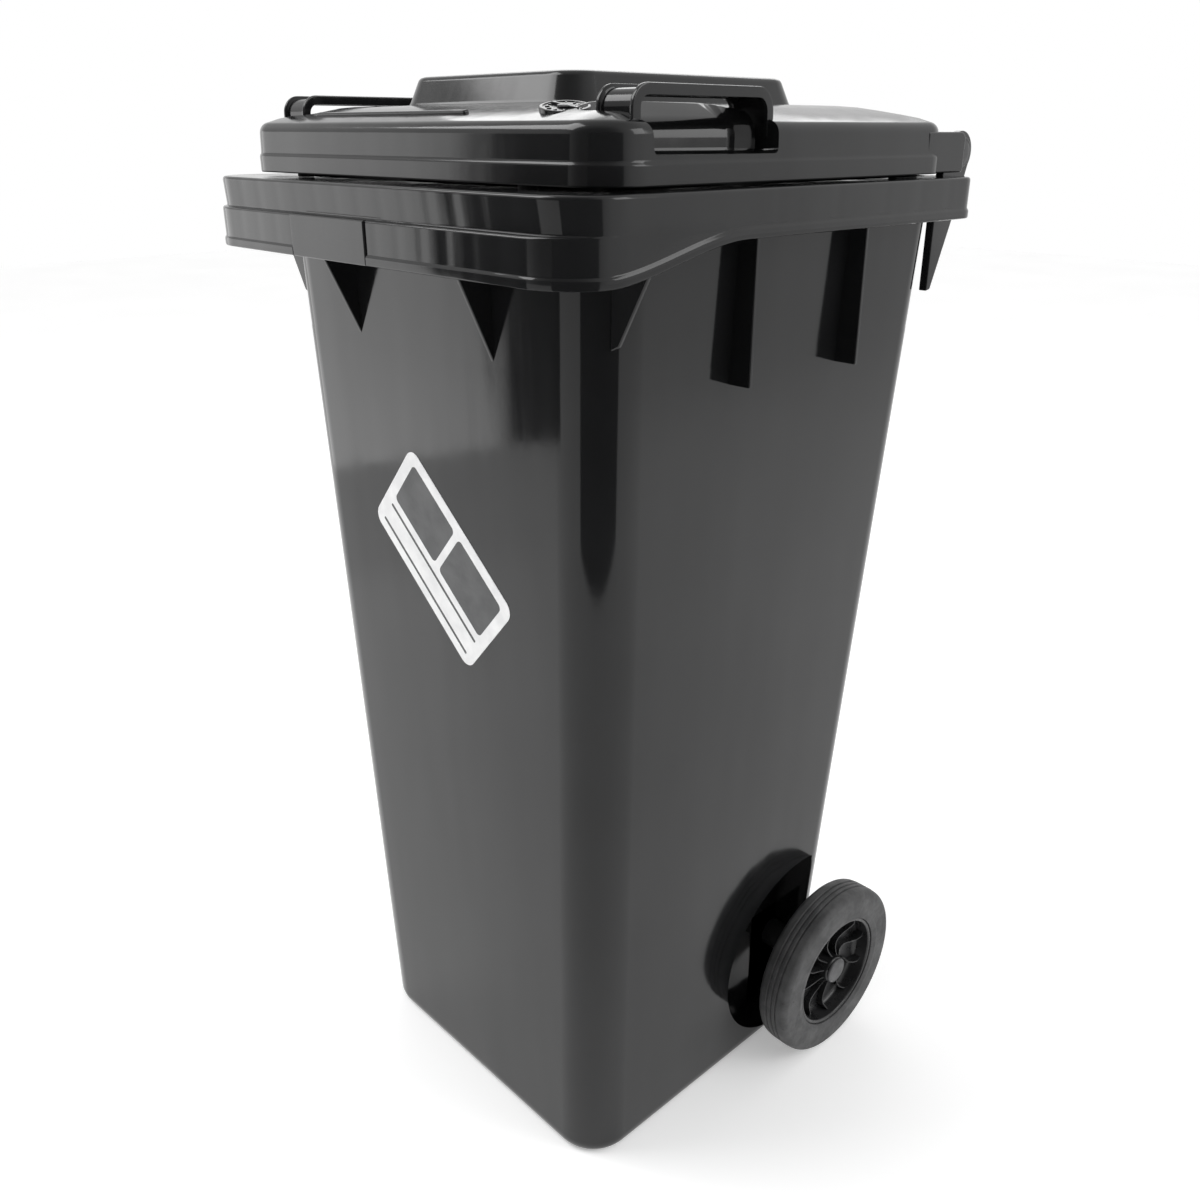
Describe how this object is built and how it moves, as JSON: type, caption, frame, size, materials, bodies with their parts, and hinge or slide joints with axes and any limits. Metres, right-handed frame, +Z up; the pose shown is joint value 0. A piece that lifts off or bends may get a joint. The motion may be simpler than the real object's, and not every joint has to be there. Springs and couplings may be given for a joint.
{
  "type": "two-wheeled waste bin",
  "caption": "Tapered plastic wheelie bin with a comb-lift front rim, hinged lid with side handles and raised middle, grip bar and rubber-tyred wheels.",
  "frame": {"origin": "floor level, on the middle plane, at the middle of the overall depth", "axes": "+X to the right-hand side seen from the front, +Y towards the wheels and hinge, +Z up"},
  "size_m": [0.504, 0.528, 1.02],
  "materials": {
    "container_plastic": "semi-gloss moulded polyethylene",
    "lid_plastic": "semi-gloss moulded polyethylene",
    "cover_plastic": "semi-gloss moulded polyethylene",
    "dial_plastic": "semi-gloss moulded polyethylene",
    "black_plastic": "matt black moulding",
    "hub_plastic": "satin black moulding",
    "cap_plastic": "satin dark grey moulding",
    "tyre_rubber": "dusty grey-black rubber",
    "buffer_rubber": "matt black rubber",
    "steel": "zinc-plated steel",
    "label_film": "satin white vinyl film"
  },
  "bodies": {
    "container": {"container": "container_plastic", "axle": "steel", "spacer_l": "black_plastic", "spacer_r": "black_plastic", "hinge_pin_l": "black_plastic", "hinge_pin_r": "black_plastic", "chip_cover": "cover_plastic", "front_label": "label_film"},
    "lid": {"lid": "lid_plastic", "date_dial": "dial_plastic", "lid_buffer_l": "buffer_rubber", "lid_buffer_r": "buffer_rubber"},
    "wheel_l": {"hub_l": "hub_plastic", "tyre_l": "tyre_rubber", "hub_cap_l": "cap_plastic", "lock_pin_l": "steel", "lock_spring_l": "steel"},
    "wheel_r": {"hub_r": "hub_plastic", "tyre_r": "tyre_rubber", "hub_cap_r": "cap_plastic", "lock_pin_r": "steel", "lock_spring_r": "steel"}
  },
  "joints": [
    {"name": "lid_hinge", "type": "hinge", "parent": "container", "child": "lid", "pos_m": [0, 0.246, 0.96], "axis": [-1, 0, 0], "range_deg": [0, 245]},
    {"name": "wheel_l_spin", "type": "hinge", "parent": "container", "child": "wheel_l", "pos_m": [-0.23, 0.139, 0.1], "axis": [1, 0, 0], "continuous": true},
    {"name": "wheel_r_spin", "type": "hinge", "parent": "container", "child": "wheel_r", "pos_m": [0.23, 0.139, 0.1], "axis": [1, 0, 0], "continuous": true}
  ]
}
